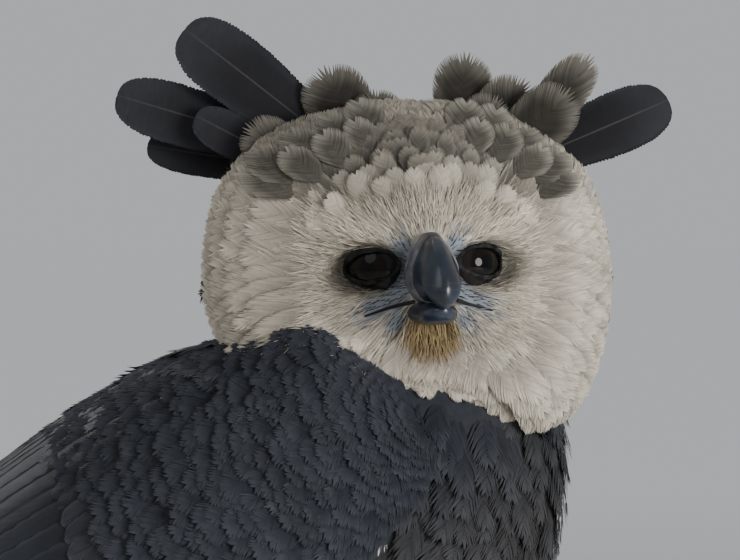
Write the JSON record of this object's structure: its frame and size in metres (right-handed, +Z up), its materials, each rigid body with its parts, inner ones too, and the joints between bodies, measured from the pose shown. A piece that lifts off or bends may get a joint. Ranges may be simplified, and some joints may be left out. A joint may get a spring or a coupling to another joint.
{
  "type": "harpy eagle",
  "caption": "Life-size harpy eagle standing on the floor with folded wings, raised crest and ruff, its head turned over the right shoulder.",
  "frame": {"origin": "middle of the bounding box, at floor level under the soles", "axes": "+X is the way the body faces, +Y is the bird's left, +Z is up; the head looks towards -Y"},
  "size_m": [0.8072, 0.268, 0.6602],
  "materials": {
    "feathers_dark": "soft slate-black feathers",
    "feathers_grey": "soft grey feathers",
    "feathers_chest": "soft blackish feathers",
    "feathers_pale": "soft white feathers",
    "horn": "glossy black horn",
    "cere": "dark waxy skin",
    "eyeball": "wet dark eye",
    "leg_skin": "dull yellow scaled skin"
  },
  "bodies": {
    "root": {"head": "feathers_grey", "cere": "cere", "upper_bill": "horn", "lower_bill": "horn", "eye_right": "eyeball", "eye_left": "eyeball", "neck": "feathers_chest", "torso": "feathers_pale", "wing_right": "feathers_dark", "wing_left": "feathers_dark", "tail": "feathers_dark", "thigh_right": "feathers_pale", "thigh_left": "feathers_pale", "shank_right": "leg_skin", "shank_left": "leg_skin", "toe_inner_right": "leg_skin", "claw_inner_right": "horn", "toe_middle_right": "leg_skin", "claw_middle_right": "horn", "toe_outer_right": "leg_skin", "claw_outer_right": "horn", "toe_hind_right": "leg_skin", "claw_hind_right": "horn", "toe_inner_left": "leg_skin", "claw_inner_left": "horn", "toe_middle_left": "leg_skin", "claw_middle_left": "horn", "toe_outer_left": "leg_skin", "claw_outer_left": "horn", "toe_hind_left": "leg_skin", "claw_hind_left": "horn"}
  },
  "joints": []
}
